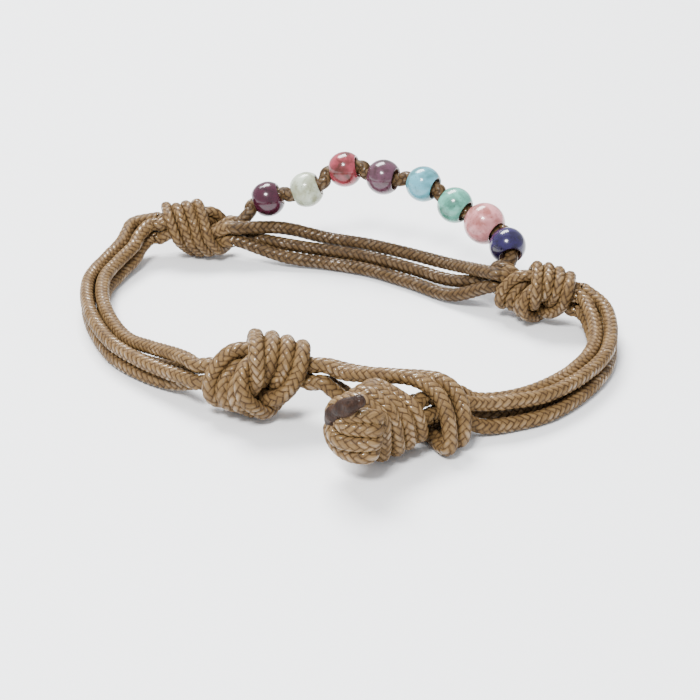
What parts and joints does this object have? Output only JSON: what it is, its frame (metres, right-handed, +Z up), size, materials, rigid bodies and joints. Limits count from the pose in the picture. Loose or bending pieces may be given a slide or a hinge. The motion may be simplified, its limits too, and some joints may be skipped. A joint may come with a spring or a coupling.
{
  "type": "ceramic bead bracelet",
  "caption": "Knotted waxed-cord bracelet with an arch of small round glazed ceramic beads and a loop-and-knot closure, lying closed on a table.",
  "frame": {"origin": "centre of the outline on the table", "axes": "+X to the right in the picture, +Y away from the camera, +Z up from the table"},
  "size_m": [0.068, 0.066, 0.0147],
  "materials": {
    "waxed_cotton_cord": "braided, waxed",
    "waxed_cotton_cord_shaded": "braided, waxed",
    "melted_cord_end": "melted, dark",
    "plum_glaze": "glossy glaze over ceramic",
    "celadon_white_glaze": "glossy glaze over ceramic",
    "raspberry_glaze": "glossy glaze over ceramic",
    "mauve_glaze": "glossy glaze over ceramic",
    "sky_blue_glaze": "glossy glaze over ceramic",
    "teal_glaze": "glossy glaze over ceramic",
    "rose_pink_glaze": "glossy glaze over ceramic",
    "indigo_glaze": "glossy glaze over ceramic"
  },
  "bodies": {
    "root": {"loop_knot": "waxed_cotton_cord", "closure_loop_outer": "waxed_cotton_cord", "closure_loop_inner": "waxed_cotton_cord", "stopper_knot": "waxed_cotton_cord", "left_cord_1": "waxed_cotton_cord", "left_cord_2": "waxed_cotton_cord", "left_cord_3": "waxed_cotton_cord", "left_cord_4": "waxed_cotton_cord", "right_cord_1": "waxed_cotton_cord", "right_cord_2": "waxed_cotton_cord", "right_cord_3": "waxed_cotton_cord", "right_cord_4": "waxed_cotton_cord", "left_back_knot": "waxed_cotton_cord", "right_back_knot": "waxed_cotton_cord", "cut_ends": "melted_cord_end", "band_cord_1": "waxed_cotton_cord_shaded", "band_cord_2": "waxed_cotton_cord_shaded", "band_cord_3": "waxed_cotton_cord_shaded", "bead_cord": "waxed_cotton_cord_shaded", "bead_1": "plum_glaze", "bead_2": "celadon_white_glaze", "bead_3": "raspberry_glaze", "bead_4": "mauve_glaze", "bead_5": "sky_blue_glaze", "bead_6": "teal_glaze", "bead_7": "rose_pink_glaze", "bead_8": "indigo_glaze"}
  },
  "joints": []
}
